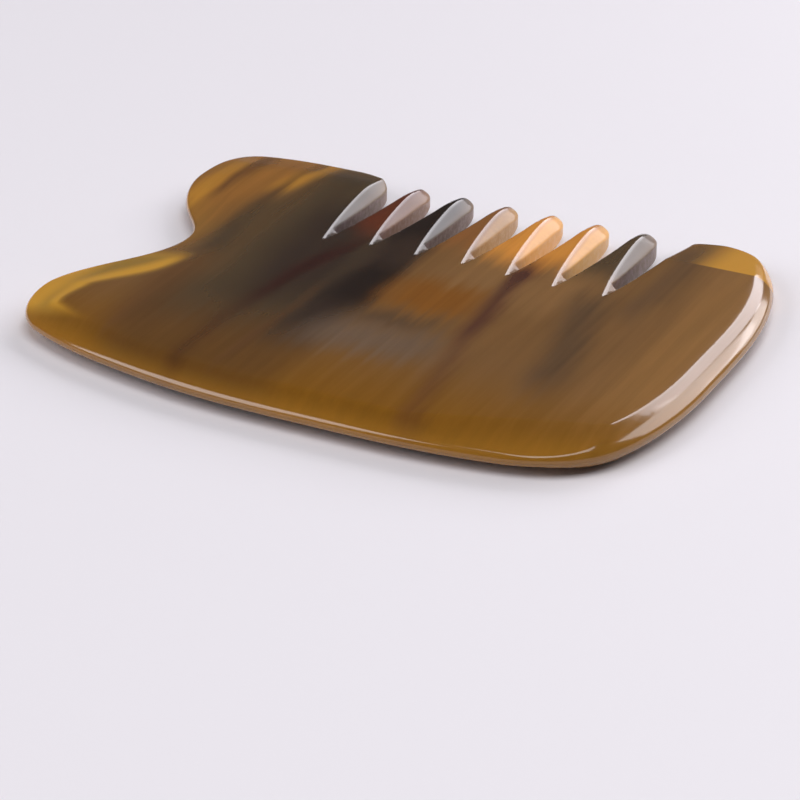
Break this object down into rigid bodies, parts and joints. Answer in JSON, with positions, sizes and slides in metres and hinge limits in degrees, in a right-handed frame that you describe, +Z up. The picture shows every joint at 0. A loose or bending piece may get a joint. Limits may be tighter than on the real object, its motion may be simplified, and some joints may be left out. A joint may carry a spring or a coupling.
{
  "type": "gua sha comb scraper",
  "caption": "Flat polished horn massage scraper with a toothed comb edge, a fish-tail notch at one end and long thinned scraping edges.",
  "frame": {"origin": "centre of the plate's bounding box to within half a millimetre, on the face that it rests on", "axes": "+X along the row of comb teeth, away from the fish-tail notch; +Y towards the comb edge; +Z up, through the thickness"},
  "size_m": [0.1056, 0.0822, 0.0055],
  "materials": {
    "polished_horn": "polished ox horn, glossy and slightly translucent, amber streaked with dark brown and olive"
  },
  "bodies": {
    "root": {"scraper_plate": "polished_horn"}
  },
  "joints": []
}
